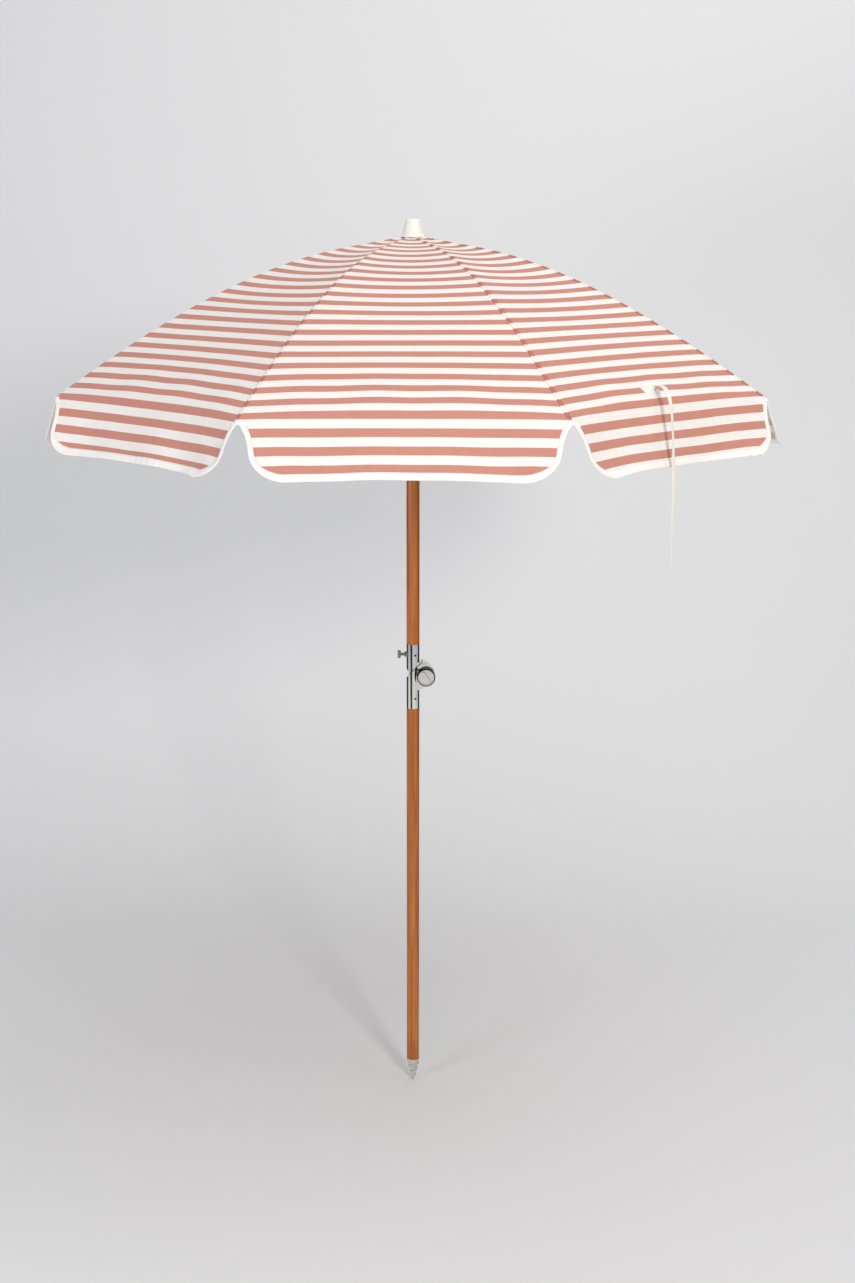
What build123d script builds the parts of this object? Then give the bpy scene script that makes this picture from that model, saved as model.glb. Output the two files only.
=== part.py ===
from build123d import *
from math import cos, radians, sin, tan
import os

# Striped beach umbrella: two-piece wooden pole, plated tilt joint, eight ribs and stretchers, canopy.
# Millimetres. +Z is up along the pole, the origin is the tip of the ground spike, panel 1 faces -Y.

os.makedirs("parts", exist_ok=True)

# pole and spike
total_height = 2200.0
pole_r = 16.0
spike_top = 64.5
spike_plug_r, spike_plug_top = 10.0, 95.0
tenon_r = 14.0
glue_gap = 0.1
run_gap = 0.05
part_gap = 0.3

# tilt joint
tube_r = 16.4
tube_bottom, tube_top = 1021.6, 1185.0
hinge_x, hinge_z = 33.0, 1105.0
disc_r, disc_half = 22.3, 14.0
disc_pocket_r = 24.4
lobe_r, parting_angle = 33.45, 44.0
lobe_gap = 0.45
flare_angle = 60.0
bolt_r = 4.0
knob_r, knob_depth = 22.5, 14.0
lower_tenon_top, upper_tenon_bottom = 1088.0, 1140.0
rivet_r, rivet_azimuth = 2.6, -68.5
lower_rivet_z, screw_z = 1047.5, 1158.0
screw_r = 3.5

# top of the pole
crown_bottom, crown_top, crown_r = 2112.0, 2146.0, 27.0
crown_tenon_r = 12.0
crown_wire_ring, wire_r = 21.0, 1.4
rib_pivot_z = 2136.5
finial_bottom, flange_r = 2158.6, 28.0
stud_r = 3.0

# ribs, stretchers and runner
panels = 8
sector = 360.0 / panels
first_rib = -67.5
rib_r, stretcher_r = 2.2, 2.0
rib_clip = (388.0, 2052.0)
rib_tip = (835.0, 1811.5)
runner_z = 1800.0
runner_wire_ring, runner_pivot_r = 24.6, 24.0
stretcher_offset = 5.5
eye_thickness = 4.0

# canopy: outer line of a panel along its middle, as (distance from the pole, height)
cloth_shift = (-0.9, -1.5)
hub_edge = (24.0, 2156.5)
upper_middle, shoulder = (184.8, 2130.0), (369.6, 2065.3)
lower_middle, fold = (554.3, 1967.3), (776.1, 1818.7)
hem = (796.0, 1706.7)
corner_reach, corner_r = 319.5, 50.0

# tie strap on panel 2
tie_azimuth, tie_share = -45.0, 0.862
strap_azimuth, strap_width, strap_thickness = -72.0, 10.0, 1.6
strap_route = [
    (7, 1865), (27, 1868.5), (53, 1861), (80, 1836), (96, 1795),
    (104, 1745), (108, 1690), (109, 1632), (107, 1570), (109, 1508),
]


def save(piece, name):
    piece.part.label = name
    export_step(piece.part, f"parts/{name}.step")


def upright(azimuth):
    """The vertical plane through the pole at this azimuth: local x outwards, local y up."""
    a = radians(azimuth)
    return Plane(origin=(0, 0, 0), x_dir=(cos(a), sin(a), 0), z_dir=(sin(a), -cos(a), 0))


def outwards(azimuth, z):
    """A plane on the pole's axis at height z, facing outwards at this azimuth, local y up."""
    a = radians(azimuth)
    return Plane(origin=(0, 0, z), x_dir=(-sin(a), cos(a), 0), z_dir=(cos(a), sin(a), 0))


# ground spike: fluted plastic point with a plug that is glued up into the pole
with BuildPart() as ground_spike:
    with BuildSketch(Plane.XZ):
        with BuildLine():
            Polyline(
                (0, 0), (2.5, 3), (5.0, 12), (6.5, 20), (10.5, 22), (10.5, 24), (7.2, 27),
                (8.0, 33), (13.0, 35.5), (13.0, 38), (9.0, 41), (9.6, 46), (15.0, 49),
                (15.8, 53), (15.8, spike_top), (spike_plug_r, spike_top),
                (spike_plug_r, spike_plug_top), (0, spike_plug_top), (0, 0),
            )
        make_face()
    revolve(axis=Axis.Z)
save(ground_spike, "ground_spike")

# lower pole: turned wood, bored for the spike and stepped down into the tilt joint
with BuildPart() as lower_pole:
    with BuildSketch(Plane.XY.offset(spike_top)):
        Circle(pole_r)
    extrude(amount=tube_bottom - spike_top)
    with BuildSketch(Plane.XY.offset(tube_bottom)):
        Circle(tenon_r)
    extrude(amount=lower_tenon_top - tube_bottom)
    with BuildSketch(Plane.XY.offset(spike_top)):
        Circle(spike_plug_r + glue_gap)
    extrude(amount=spike_plug_top + 1 - spike_top, mode=Mode.SUBTRACT)
    with BuildSketch(outwards(rivet_azimuth, lower_rivet_z)):
        Circle(rivet_r + glue_gap)
    extrude(amount=tube_r + 2, mode=Mode.SUBTRACT)
save(lower_pole, "lower_pole")

# The halves part on a slanting line that runs into an arc round the hinge, and the lower half's lobe is
# in front of the upper half's. Each lobe turns in a clear pocket of the other half.
slant = radians(parting_angle)
flare_x = hinge_x + disc_r * cos(radians(flare_angle))
flare_rise = disc_r * sin(radians(flare_angle))
flare_side = flare_rise + (flare_x - tube_r) / tan(radians(flare_angle))
side_view = Plane.XZ
far = 80.0
hinge = (hinge_x, hinge_z)


def on_lobe(radius, turn=slant):
    """The point of a lobe's arc at this angle left of straight up, by default where the line meets it."""
    return (hinge_x - radius * sin(turn), hinge_z + radius * cos(turn))


def on_slant(radius, x):
    """A point of the slanting line that touches the arc of this radius."""
    meet = on_lobe(radius)
    return (x, meet[1] + (x - meet[0]) * tan(slant))


def lobe_outline(radius):
    """A lobe above the hinge: an arc from the slanting line to its top, and a rounded right-hand side."""
    end = (hinge_x + disc_r, hinge_z)
    shoulder_point = (hinge_x + 0.76 * disc_r, hinge_z + 0.8 * disc_r)
    Line(hinge, on_lobe(radius))
    ThreePointArc(on_lobe(radius), on_lobe(radius, slant / 2), on_lobe(radius, 0))
    ThreePointArc(on_lobe(radius, 0), shoulder_point, end)
    Line(end, hinge)


def parted(radius, height):
    """Everything on one side of the parting, up or down to this height from the hinge."""
    Line(on_slant(radius, -far), on_lobe(radius))
    ThreePointArc(on_lobe(radius), on_lobe(radius, slant / 2), on_lobe(radius, 0))
    Polyline(
        on_lobe(radius, 0), (far, hinge_z + radius), (far, hinge_z + height),
        (-far, hinge_z + height), on_slant(radius, -far),
    )


with BuildSketch(side_view) as above_parting:
    with BuildLine():
        parted(lobe_r - part_gap / 2, far)
    make_face()

with BuildSketch(side_view) as left_notch:
    with BuildLine():
        tip = on_slant(lobe_r, -8.5)
        ThreePointArc((-tube_r - 2, tip[1] + 13), (-11.5, tip[1] + 6), tip)
        ThreePointArc(tip, (-11.5, tip[1] - 6.5), (-tube_r - 2, tip[1] - 13))
        Line((-tube_r - 2, tip[1] - 13), (-tube_r - 2, tip[1] + 13))
    make_face()

# tilt joint, lower half: socket for the lower pole, flaring into the front disc and lobe
with BuildPart() as tilt_lower:
    with BuildSketch(Plane.XY.offset(tube_bottom)):
        Circle(tube_r)
    extrude(amount=hinge_z + lobe_r - tube_bottom)
    with BuildSketch(side_view):
        with BuildLine():
            Polyline(
                (0, hinge_z), (0, hinge_z - flare_side), (tube_r, hinge_z - flare_side),
                (flare_x, hinge_z - flare_rise), hinge, (0, hinge_z),
            )
        make_face()
        with Locations(hinge):
            Circle(disc_r)
    extrude(amount=disc_half, both=True)
    with BuildSketch(side_view):
        with BuildLine():
            lobe_outline(lobe_r - part_gap / 2)
        make_face()
    extrude(amount=disc_half)
    add(extrude(above_parting.sketch, amount=2 * disc_half, both=True), mode=Mode.SUBTRACT)
    add(extrude(left_notch.sketch, amount=2 * disc_half, both=True), mode=Mode.SUBTRACT)
    # behind, room for the upper half's disc and lobe
    with BuildSketch(side_view.offset(part_gap / 2)):
        with BuildLine():
            dx, dz = lobe_gap * cos(slant), lobe_gap * sin(slant)
            near = (hinge_x - dx, hinge_z - dz)
            meet = on_lobe(lobe_r + part_gap)
            Polyline(
                near, (meet[0] - dx, meet[1] - dz), (meet[0] - dx, hinge_z + far),
                (far, hinge_z + far), (far, hinge_z - dz), near,
            )
        make_face()
        with Locations(hinge):
            Circle(disc_pocket_r)
    extrude(amount=-2 * disc_half, mode=Mode.SUBTRACT)
    with BuildSketch(Plane.XY.offset(tube_bottom)):
        Circle(tenon_r + glue_gap)
    extrude(amount=lower_tenon_top + 2 - tube_bottom, mode=Mode.SUBTRACT)
    with BuildSketch(side_view):
        with Locations(hinge):
            Circle(bolt_r + glue_gap)
    extrude(amount=2 * disc_half, mode=Mode.SUBTRACT)
    with BuildSketch(outwards(rivet_azimuth, lower_rivet_z)):
        Circle(rivet_r + glue_gap)
    extrude(amount=tube_r + 2, mode=Mode.SUBTRACT)
save(tilt_lower, "tilt_lower")

with BuildPart() as lower_rivet:
    with BuildSketch(outwards(rivet_azimuth, lower_rivet_z).offset(8)):
        Circle(rivet_r)
    extrude(amount=9.4)
    fillet(lower_rivet.faces().sort_by(Axis((0, 0, 0), outwards(rivet_azimuth, 0).z_dir))[-1].edges(), 0.8)
save(lower_rivet, "lower_rivet")

# hinge bolt: fixed in the front disc, its hexagon head behind, the knob on its front end
with BuildPart() as tilt_bolt:
    with BuildSketch(Plane.XZ.offset(-disc_half - part_gap)):
        with Locations(hinge):
            Circle(bolt_r)
    extrude(amount=2 * disc_half + part_gap + 10)
    with BuildSketch(Plane.XZ.offset(-disc_half - part_gap)):
        with Locations(hinge):
            RegularPolygon(7.5, 6)
    extrude(amount=-5)
save(tilt_bolt, "tilt_bolt")

# tilt joint, upper half: socket for the upper pole, flaring into the rear disc and lobe
with BuildPart() as tilt_upper:
    with BuildSketch(Plane.XY.offset(hinge_z - 5)):
        Circle(tube_r)
    extrude(amount=tube_top - hinge_z + 5)
    with BuildSketch(side_view):
        with BuildLine():
            Polyline(
                (0, hinge_z), (0, hinge_z + flare_side), (tube_r, hinge_z + flare_side),
                (hinge_x, hinge_z + lobe_r + 4), hinge, (0, hinge_z),
            )
        make_face()
    extrude(amount=disc_half, both=True)
    with BuildSketch(side_view) as below_parting:
        with BuildLine():
            parted(lobe_r + part_gap / 2, -far)
        make_face()
    extrude(amount=2 * disc_half, both=True, mode=Mode.SUBTRACT)
    add(extrude(left_notch.sketch, amount=2 * disc_half, both=True), mode=Mode.SUBTRACT)
    with BuildSketch(side_view.offset(-part_gap / 2)):
        with BuildLine():
            lobe_outline(lobe_r + part_gap)
        make_face()
        with Locations(hinge):
            Circle(disc_r)
    extrude(amount=-(disc_half - part_gap / 2))
    with BuildSketch(Plane.XY.offset(tube_top)):
        Circle(tenon_r + run_gap)
    extrude(amount=upper_tenon_bottom - 1 - tube_top, mode=Mode.SUBTRACT)
    with BuildSketch(side_view):
        with Locations(hinge):
            Circle(bolt_r + run_gap)
    extrude(amount=-2 * disc_half, mode=Mode.SUBTRACT)
    with BuildSketch(outwards(180, screw_z).offset(10)):
        Circle(screw_r + run_gap)
    extrude(amount=12, mode=Mode.SUBTRACT)
    with BuildSketch(outwards(rivet_azimuth, screw_z).offset(10)):
        Circle(rivet_r + glue_gap)
    extrude(amount=8, mode=Mode.SUBTRACT)
save(tilt_upper, "tilt_upper")

with BuildPart() as upper_rivet:
    with BuildSketch(outwards(rivet_azimuth, screw_z).offset(14.4)):
        Circle(rivet_r)
    extrude(amount=3.0)
    fillet(upper_rivet.faces().sort_by(Axis((0, 0, 0), outwards(rivet_azimuth, 0).z_dir))[-1].edges(), 0.8)
save(upper_rivet, "upper_rivet")

with BuildPart() as screw_boss:
    with BuildSketch(outwards(180, screw_z).offset(12)):
        Circle(6.5)
        Circle(screw_r + run_gap, mode=Mode.SUBTRACT)
    extrude(amount=9.5)
    with BuildSketch(Plane.XY.offset(screw_z - 10)):
        Circle(tube_r + glue_gap)
    extrude(amount=20, mode=Mode.SUBTRACT)
save(screw_boss, "screw_boss")

# knob: round, with a raised rim and a slanting grip bar across its recess
with BuildPart() as tilt_knob:
    with BuildSketch(Plane.XZ.offset(disc_half + part_gap)):
        with Locations(hinge):
            Circle(knob_r)
    extrude(amount=knob_depth)
    fillet(tilt_knob.faces().sort_by(Axis.Y)[0].edges(), 2.0)
    with BuildSketch(Plane.XZ.offset(disc_half + part_gap + knob_depth)):
        with Locations(hinge):
            Circle(knob_r - 4.5)
    extrude(amount=-3.5, mode=Mode.SUBTRACT)
    with BuildSketch(Plane.XZ.offset(disc_half + part_gap + knob_depth - 3.5)):
        with Locations(hinge):
            SlotOverall(2 * (knob_r - 6), 8, rotation=-56)
    extrude(amount=5)
    with BuildSketch(Plane.XZ.offset(disc_half + part_gap)):
        with Locations(hinge):
            Circle(bolt_r + run_gap)
    extrude(amount=10.2, mode=Mode.SUBTRACT)
save(tilt_knob, "tilt_knob")

# thumb screw that clamps the upper pole in its socket
with BuildPart() as thumb_screw:
    with BuildSketch(outwards(180, screw_z).offset(tenon_r + 0.4)):
        Circle(screw_r)
    extrude(amount=29.5 - tenon_r)
    with BuildSketch(outwards(180, screw_z).offset(29.5)):
        Circle(5.5)
    extrude(amount=5)
    with BuildSketch(outwards(180, screw_z).offset(30.5)):
        SlotOverall(21, 6, rotation=80)
    extrude(amount=7.5)
save(thumb_screw, "thumb_screw")

# upper pole, stepped at both ends, with a slot for the catch spring
runner_low, runner_high = runner_z - 35, runner_z + 22
with BuildPart() as upper_pole:
    with BuildSketch(Plane.XY.offset(upper_tenon_bottom)):
        Circle(tenon_r)
    extrude(amount=tube_top + part_gap - upper_tenon_bottom)
    with BuildSketch(Plane.XY.offset(tube_top + part_gap)):
        Circle(pole_r)
    extrude(amount=crown_bottom - tube_top - part_gap)
    with BuildSketch(Plane.XY.offset(crown_bottom)):
        Circle(crown_tenon_r)
    extrude(amount=crown_top - crown_bottom)
    with BuildSketch(Plane.XY.offset(crown_top)):
        Circle(stud_r + glue_gap)
    extrude(amount=-37, mode=Mode.SUBTRACT)
    with BuildSketch(Plane.YZ):
        with Locations((11, runner_low - 29)):
            Rectangle(12, 62)
    extrude(amount=2, both=True, mode=Mode.SUBTRACT)
save(upper_pole, "upper_pole")

# catch: a leaf spring that stands out of the slot just under the open runner
with BuildPart() as catch_spring:
    with BuildSketch(Plane.YZ):
        with BuildLine():
            Polyline(
                (7, runner_low - 57), (8.2, runner_low - 57), (19.4, runner_low - 4),
                (18.6, runner_low - 1.2), (11, runner_low - 1.2), (11, runner_low - 2.4),
                (17.6, runner_low - 2.4), (18, runner_low - 4), (7, runner_low - 57),
            )
        make_face()
    extrude(amount=1.5, both=True)
save(catch_spring, "catch_spring")

# crown: slotted hub that the ribs hang in, on a wire ring
with BuildPart() as crown:
    with BuildSketch(Plane.XY.offset(crown_bottom)):
        Circle(crown_r)
        Circle(crown_tenon_r + glue_gap, mode=Mode.SUBTRACT)
    extrude(amount=crown_top - crown_bottom)
    chamfer(crown.edges().filter_by(GeomType.CIRCLE).sort_by(Axis.Z)[:2].sort_by(SortBy.RADIUS)[-1], 4)
    for i in range(panels):
        a = radians(first_rib + sector * i)
        with BuildSketch(Plane.XY.offset(crown_bottom)):
            with Locations(Location((25.5 * cos(a), 25.5 * sin(a), 0), (0, 0, first_rib + sector * i))):
                Rectangle(20, eye_thickness + 0.8)
        extrude(amount=crown_top - crown_bottom - 2.5, mode=Mode.SUBTRACT)
    with BuildSketch(Plane.XZ):
        with Locations((crown_wire_ring, rib_pivot_z)):
            Circle(wire_r + glue_gap)
    revolve(axis=Axis.Z, mode=Mode.SUBTRACT)
save(crown, "crown")

with BuildPart() as crown_wire:
    with BuildSketch(Plane.XZ):
        with Locations((crown_wire_ring, rib_pivot_z)):
            Circle(wire_r)
    revolve(axis=Axis.Z)
save(crown_wire, "crown_wire")

with BuildPart() as canopy_washer:
    with BuildSketch(Plane.XY.offset(crown_top + glue_gap)):
        Circle(22.5)
    extrude(amount=8.2)
    with BuildSketch(Plane.XY.offset(crown_top + glue_gap + 8.2)):
        Circle(19.5)
    extrude(amount=finial_bottom - crown_top - 8.2 - 2 * glue_gap)
    with BuildSketch(Plane.XY.offset(crown_top)):
        Circle(stud_r + glue_gap)
    extrude(amount=20, mode=Mode.SUBTRACT)
save(canopy_washer, "canopy_washer")

with BuildPart() as finial:
    with BuildSketch(Plane.XZ):
        with BuildLine():
            Polyline(
                (0, finial_bottom), (flange_r, finial_bottom), (flange_r, finial_bottom + 2.2),
                (25, finial_bottom + 4), (17, total_height), (0, total_height), (0, finial_bottom),
            )
        make_face()
    revolve(axis=Axis.Z)
    fillet(finial.edges().filter_by(GeomType.CIRCLE).sort_by(Axis.Z)[-1], 4)
    with BuildSketch(Plane.XY.offset(finial_bottom)):
        Circle(stud_r + glue_gap)
    extrude(amount=28, mode=Mode.SUBTRACT)
save(finial, "finial")

with BuildPart() as finial_stud:
    with BuildSketch(Plane.XY.offset(crown_top - 36)):
        Circle(stud_r)
    extrude(amount=finial_bottom + 27 - crown_top + 36)
save(finial_stud, "finial_stud")

# runner: sleeve that slides on the pole and carries the stretchers on a wire ring
slot_inner = 18.9
with BuildPart() as runner:
    with BuildSketch(Plane.XY.offset(runner_low)):
        Circle(20)
    extrude(amount=runner_high - runner_low)
    with BuildSketch(Plane.XY.offset(runner_z - 8)):
        Circle(31)
    extrude(amount=15)
    fillet(runner.edges().filter_by(GeomType.CIRCLE).sort_by(SortBy.RADIUS)[-2:], 2.0)
    with BuildSketch(Plane.XY.offset(runner_low)):
        Circle(pole_r + run_gap)
    extrude(amount=runner_high - runner_low, mode=Mode.SUBTRACT)
    for i in range(panels):
        a = radians(first_rib + sector * i)
        x = slot_inner + 8
        y = -stretcher_offset
        with BuildSketch(Plane.XY.offset(runner_z - 6.2)):
            spot = (x * cos(a) - y * sin(a), x * sin(a) + y * cos(a), 0)
            with Locations(Location(spot, (0, 0, first_rib + sector * i))):
                Rectangle(16, 4.6)
        extrude(amount=40, mode=Mode.SUBTRACT)
    with BuildSketch(Plane.XZ):
        with Locations((runner_wire_ring, runner_z)):
            Circle(wire_r + glue_gap)
    revolve(axis=Axis.Z, mode=Mode.SUBTRACT)
save(runner, "runner")

with BuildPart() as runner_wire:
    with BuildSketch(Plane.XZ):
        with Locations((runner_wire_ring, runner_z)):
            Circle(wire_r)
    revolve(axis=Axis.Z)
save(runner_wire, "runner_wire")

# ribs and stretchers: one of each, drawn in the plane of azimuth 0 and turned round the pole
with BuildPart() as rib:
    with BuildLine() as rod:
        root = (crown_wire_ring + 4, 0, rib_pivot_z)
        arc = ThreePointArc(root, (200, 0, 2120.5), (400, 0, 2056.5))
        TangentArc(arc @ 1, (rib_tip[0], 0, rib_tip[1]), tangent=arc % 1)
    with BuildSketch(Plane(origin=rod.line @ 0, z_dir=rod.line % 0)):
        Circle(rib_r)
    sweep()
    with BuildSketch(Plane.XZ):
        with Locations((crown_wire_ring, rib_pivot_z)):
            Circle(5)
    extrude(amount=eye_thickness / 2, both=True)
    with BuildSketch(Plane.XZ):
        with Locations((rib_clip[0], rib_clip[1] + 4.5)):
            SlotOverall(19, 8, rotation=75)
    extrude(amount=3, both=True)
    with BuildSketch(Plane.XZ):
        with Locations((crown_wire_ring, rib_pivot_z)):
            Circle(wire_r + 0.3)
    extrude(amount=10, both=True, mode=Mode.SUBTRACT)
    with Locations((rib_tip[0], 0, rib_tip[1])):
        Sphere(3.6)

side = Plane.XZ.offset(stretcher_offset)
low, high = (runner_pivot_r, runner_z), rib_clip
start, end = (side.from_local_coords((*p, 0)) for p in (low, high))
along = (end - start).normalized()
with BuildPart() as stretcher:
    with BuildSketch(Plane(origin=start + along * 3.5, z_dir=along)):
        Circle(stretcher_r)
    extrude(amount=(end - start).length - 7)
    with BuildSketch(side):
        with Locations(low, high):
            Circle(4.5)
    extrude(amount=1.5, both=True)
    with BuildSketch(side):
        with Locations(low):
            Circle(2.05)
        with Locations(high):
            Circle(1.6)
    extrude(amount=5, both=True, mode=Mode.SUBTRACT)

for i in range(panels):
    turned = Rotation(0, 0, first_rib + sector * i)
    for piece, name in ((rib, "rib"), (stretcher, "stretcher")):
        copy_of = turned * piece.part
        copy_of.label = f"{name}_{i + 1}"
        export_step(copy_of, f"parts/{copy_of.label}.step")

# canopy: each panel in two halves that meet on its middle line; the right-hand half is drawn in the
# plane of azimuth 0, with its panel's middle line there and its rib at +half, and mirrored for the left
half = sector / 2
with BuildPart() as right_half:
    with BuildSketch(Plane.XZ.offset(-part_gap)):
        with BuildLine():
            ThreePointArc(hub_edge, upper_middle, shoulder)
            ThreePointArc(shoulder, lower_middle, fold)
            Line(fold, hem)
            inner = [
                tuple(p[k] + cloth_shift[k] for k in (0, 1))
                for p in (hub_edge, upper_middle, shoulder, lower_middle, fold, hem)
            ]
            Line(hem, inner[5])
            Line(inner[5], inner[4])
            ThreePointArc(inner[4], inner[3], inner[2])
            ThreePointArc(inner[2], inner[1], inner[0])
            Line(inner[0], hub_edge)
        make_face()
    extrude(amount=-hem[0] * tan(radians(half)) * 1.05)
    split(bisect_by=upright(half).offset(part_gap), keep=Keep.TOP)
    # rounded lower corner beside the notch at the rib
    with BuildSketch(Plane.YZ):
        with BuildLine():
            s, z = corner_reach, hem[1]
            Line((s, fold[1] - 1), (s, z + corner_r))
            RadiusArc((s, z + corner_r), (s - corner_r, z), corner_r)
            Polyline(
                (s - corner_r, z), (s - corner_r, z - 9), (s + 80, z - 9),
                (s + 80, fold[1] - 1), (s, fold[1] - 1),
            )
        make_face()
    extrude(amount=hem[0] + 60, mode=Mode.SUBTRACT)
left_half = mirror(right_half.part, about=Plane.XZ)

for i in range(panels):
    turned = Rotation(0, 0, first_rib - half + sector * i)
    for shape, name in ((right_half.part, "right"), (left_half, "left")):
        copy_of = turned * shape
        copy_of.label = f"panel_{i + 1}_{name}"
        export_step(copy_of, f"parts/{copy_of.label}.step")

# tie on panel 2: sewn patch, snap, and the strap that hangs from it
u = upright(tie_azimuth)
lower_line = ThreePointArc(shoulder, lower_middle, fold)
tie_at, tie_down = lower_line @ tie_share, lower_line % tie_share
tie_spot = u.from_local_coords((tie_at.X, tie_at.Y, 0))
tie_normal = u.x_dir * -tie_down.Y + Vector(0, 0, tie_down.X)
with BuildPart() as tie_patch:
    with BuildSketch(Plane(origin=tie_spot + tie_normal * 0.5, x_dir=u.z_dir, z_dir=tie_normal)):
        RectangleRounded(42, 20, 2)
    extrude(amount=1.2)
save(tie_patch, "tie_patch")

with BuildPart() as tie_snap:
    with BuildSketch(Plane(origin=tie_spot + tie_normal * 1.7, x_dir=u.z_dir, z_dir=tie_normal)):
        Circle(6)
    extrude(amount=3)
    fillet(tie_snap.edges().sort_by(Axis(tie_spot, tie_normal))[-1], 1.5)
save(tie_snap, "tie_snap")

strap_way = Vector(cos(radians(strap_azimuth)), sin(radians(strap_azimuth)), 0)
foot = u.from_local_coords((tie_at.X, 0, 0))
strap_plane = Plane(origin=foot, x_dir=strap_way, z_dir=strap_way.cross(Vector(0, 0, 1)))
runs = [(Vector(*b) - Vector(*a)) for a, b in zip(strap_route, strap_route[1:])]
bends = [
    0.45 * min(a.length, b.length) / tan(radians(a.get_angle(b) / 2)) for a, b in zip(runs, runs[1:])
]
with BuildPart() as tie_strap:
    with BuildLine(strap_plane) as strap_line:
        FilletPolyline(*strap_route, radius=bends)
    with BuildSketch(Plane(origin=strap_line.line @ 0, x_dir=strap_plane.z_dir, z_dir=strap_line.line % 0)):
        Rectangle(strap_width, strap_thickness)
    sweep()
save(tie_strap, "tie_strap")
print("strap bend radii", [round(b, 1) for b in bends])
strap_length = strap_line.wires()[0].length
print("strap length", round(strap_length, 1))
print("strap volume by length", round(strap_length * strap_width * strap_thickness, 1))
print("strap volume", round(tie_strap.part.volume, 1))
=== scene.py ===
from math import atan2, cos, exp, hypot, pi, radians, sin, sqrt, tan
import bpy
from mathutils import Matrix, Vector
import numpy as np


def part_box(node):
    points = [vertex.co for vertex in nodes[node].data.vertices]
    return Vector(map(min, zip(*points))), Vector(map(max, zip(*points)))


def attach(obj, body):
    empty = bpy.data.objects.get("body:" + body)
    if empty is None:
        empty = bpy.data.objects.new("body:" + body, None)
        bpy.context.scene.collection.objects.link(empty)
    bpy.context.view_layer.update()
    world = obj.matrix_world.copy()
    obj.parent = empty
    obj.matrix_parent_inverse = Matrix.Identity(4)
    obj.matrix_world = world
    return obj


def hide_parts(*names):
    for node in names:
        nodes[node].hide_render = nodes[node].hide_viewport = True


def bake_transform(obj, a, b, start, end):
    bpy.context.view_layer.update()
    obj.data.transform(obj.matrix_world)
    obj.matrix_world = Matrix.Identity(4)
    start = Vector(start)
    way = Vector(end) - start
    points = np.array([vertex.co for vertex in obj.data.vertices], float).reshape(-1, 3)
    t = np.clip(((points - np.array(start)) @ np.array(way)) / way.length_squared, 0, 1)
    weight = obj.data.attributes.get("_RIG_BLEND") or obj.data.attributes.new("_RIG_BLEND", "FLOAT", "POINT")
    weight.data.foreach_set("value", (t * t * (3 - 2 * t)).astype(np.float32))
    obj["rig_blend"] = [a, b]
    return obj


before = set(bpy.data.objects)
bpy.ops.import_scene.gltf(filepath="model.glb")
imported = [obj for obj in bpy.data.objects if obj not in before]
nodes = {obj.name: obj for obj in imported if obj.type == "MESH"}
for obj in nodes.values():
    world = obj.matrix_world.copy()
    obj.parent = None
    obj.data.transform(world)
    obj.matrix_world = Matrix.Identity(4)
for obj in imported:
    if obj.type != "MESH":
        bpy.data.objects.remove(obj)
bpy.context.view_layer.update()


def outward(azimuth, radius=1.0, height=0.0):  # a place in the row frame from azimuth, radius and height
    a = radians(azimuth)
    return Vector((radius * cos(a), radius * sin(a), height))


def meshPiece(name, points, faces, uvs=None, smooth=True):
    mesh = bpy.data.meshes.new(name)
    mesh.from_pydata(points, [], faces)
    if uvs:
        layer = mesh.uv_layers.new(name="cloth")
        for loop in mesh.loops:
            layer.data[loop.index].uv = uvs[loop.vertex_index]
    for polygon in mesh.polygons:
        polygon.use_smooth = smooth
    mesh.update()
    piece = bpy.data.objects.new(name, mesh)
    bpy.context.scene.collection.objects.link(piece)
    return piece


def gridFaces(rows, columns, flip=False, start=0):  # quads over rows x columns points
    faces = []
    for i in range(rows - 1):
        for j in range(columns - 1):
            a = start + i * columns + j
            quad = (a, a + 1, a + columns + 1, a + columns)
            faces.append(quad[::-1] if flip else quad)
    return faces


def spunPiece(name, profile, steps, shadeAngle=35):  # turns (radius, height) points round the pole's axis
    points = [(r, 0, z) for r, z in profile]
    edges = [(i, i + 1) for i in range(len(points) - 1)]
    mesh = bpy.data.meshes.new(name)
    mesh.from_pydata(points, edges, [])
    piece = bpy.data.objects.new(name, mesh)
    bpy.context.scene.collection.objects.link(piece)
    bpy.ops.object.select_all(action="DESELECT")
    bpy.context.view_layer.objects.active = piece
    piece.select_set(True)
    bpy.ops.object.mode_set(mode="EDIT")
    bpy.ops.mesh.select_all(action="SELECT")
    bpy.ops.mesh.spin(steps=steps, angle=2 * pi, center=(0, 0, 0), axis=(0, 0, 1))
    bpy.ops.mesh.select_all(action="SELECT")
    bpy.ops.mesh.remove_doubles(threshold=0.00002)
    bpy.ops.mesh.normals_make_consistent(inside=False)
    bpy.ops.object.mode_set(mode="OBJECT")
    bpy.ops.object.shade_smooth_by_angle(angle=radians(shadeAngle))
    return piece


# camera
camera = {"distance": 3.955, "height": 2.166, "pitch": 13.86, "yaw": 1.12, "lens": 46.35, "shift": 0.0113}
place = outward(camera["yaw"] - 90, camera["distance"], camera["height"])
turn = (radians(90 - camera["pitch"]), 0, radians(camera["yaw"]))
bpy.ops.object.camera_add(location=place, rotation=turn)
viewer = bpy.context.object
viewer.data.lens = camera["lens"]
viewer.data.shift_x = camera["shift"]
bpy.context.scene.camera = viewer
print("camera set")

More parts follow.
